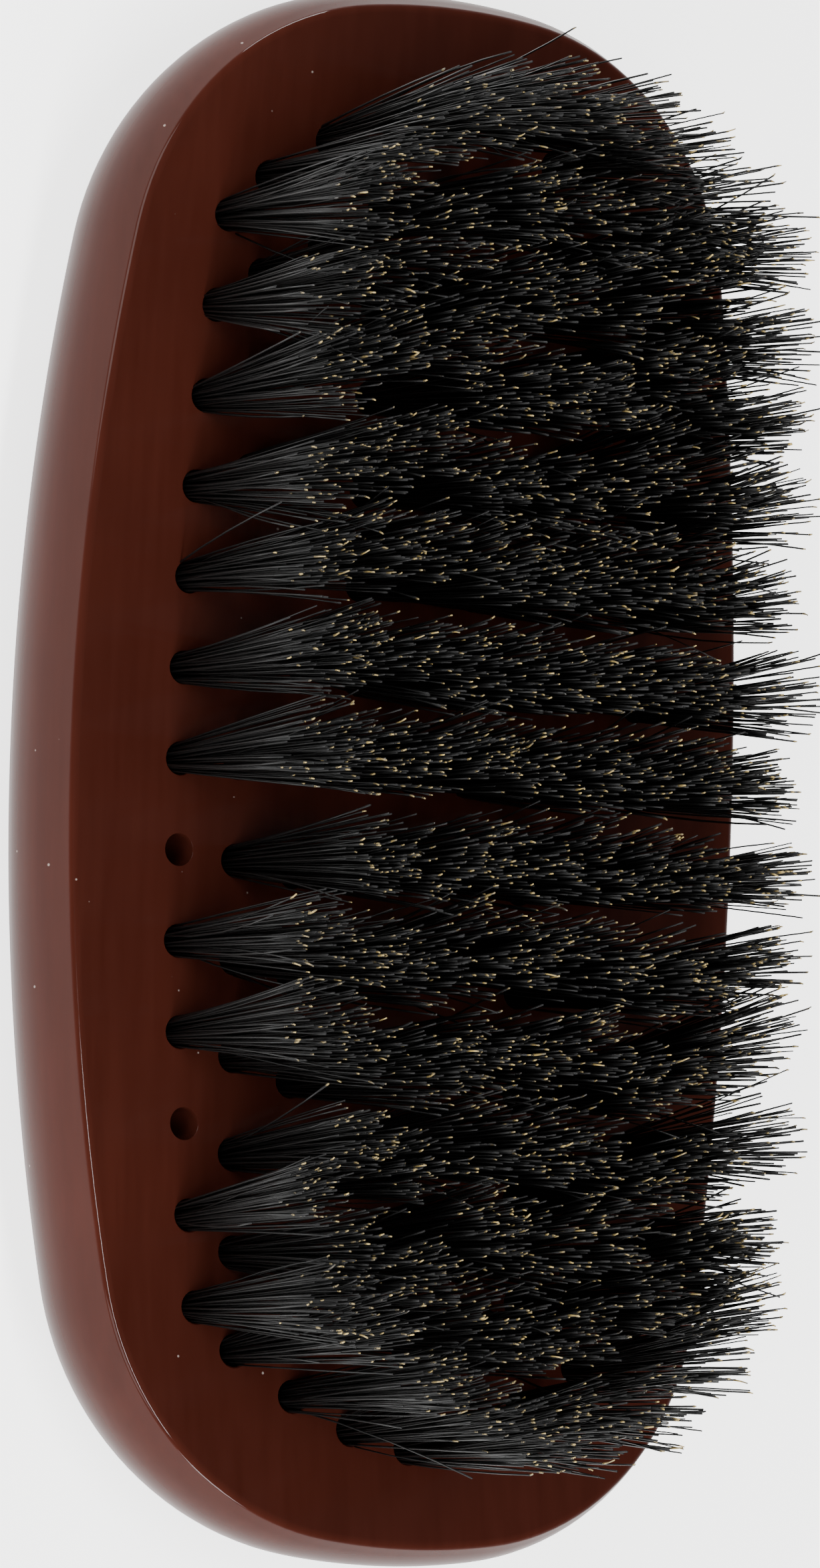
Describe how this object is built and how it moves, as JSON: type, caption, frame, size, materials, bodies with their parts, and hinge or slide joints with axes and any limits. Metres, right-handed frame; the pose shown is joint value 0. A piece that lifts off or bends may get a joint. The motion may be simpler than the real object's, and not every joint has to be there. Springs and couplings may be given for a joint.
{
  "type": "beard brush",
  "caption": "Palm-size wooden beard brush, without a handle: a bowed oval block with a dished face set with dense tufts of dark boar bristle.",
  "frame": {"origin": "middle of the flat land of the back, on the surface that the brush lies on", "axes": "+Y along the brush, +X across it, +Z out of the bristle face, away from the surface that the back rests on"},
  "size_m": [0.0682, 0.1302, 0.0422],
  "materials": {
    "lacquered_wood": "dark cherry stain under gloss lacquer",
    "boar_bristle": "natural black hog bristle with split tan tips, modelled as one solid per tuft",
    "steel_wire": "bright flat wire"
  },
  "bodies": {
    "root": {"wooden_block": "lacquered_wood", "bristle_row_1": "boar_bristle", "bristle_row_2": "boar_bristle", "bristle_row_3": "boar_bristle", "bristle_row_4": "boar_bristle", "bristle_row_5": "boar_bristle", "bristle_row_6": "boar_bristle", "bristle_row_7": "boar_bristle", "bristle_row_8": "boar_bristle", "bristle_row_9": "boar_bristle", "anchor_wires_1": "steel_wire", "anchor_wires_2": "steel_wire", "anchor_wires_3": "steel_wire", "anchor_wires_4": "steel_wire", "anchor_wires_5": "steel_wire", "anchor_wires_6": "steel_wire", "anchor_wires_7": "steel_wire", "anchor_wires_8": "steel_wire", "anchor_wires_9": "steel_wire"}
  },
  "joints": []
}
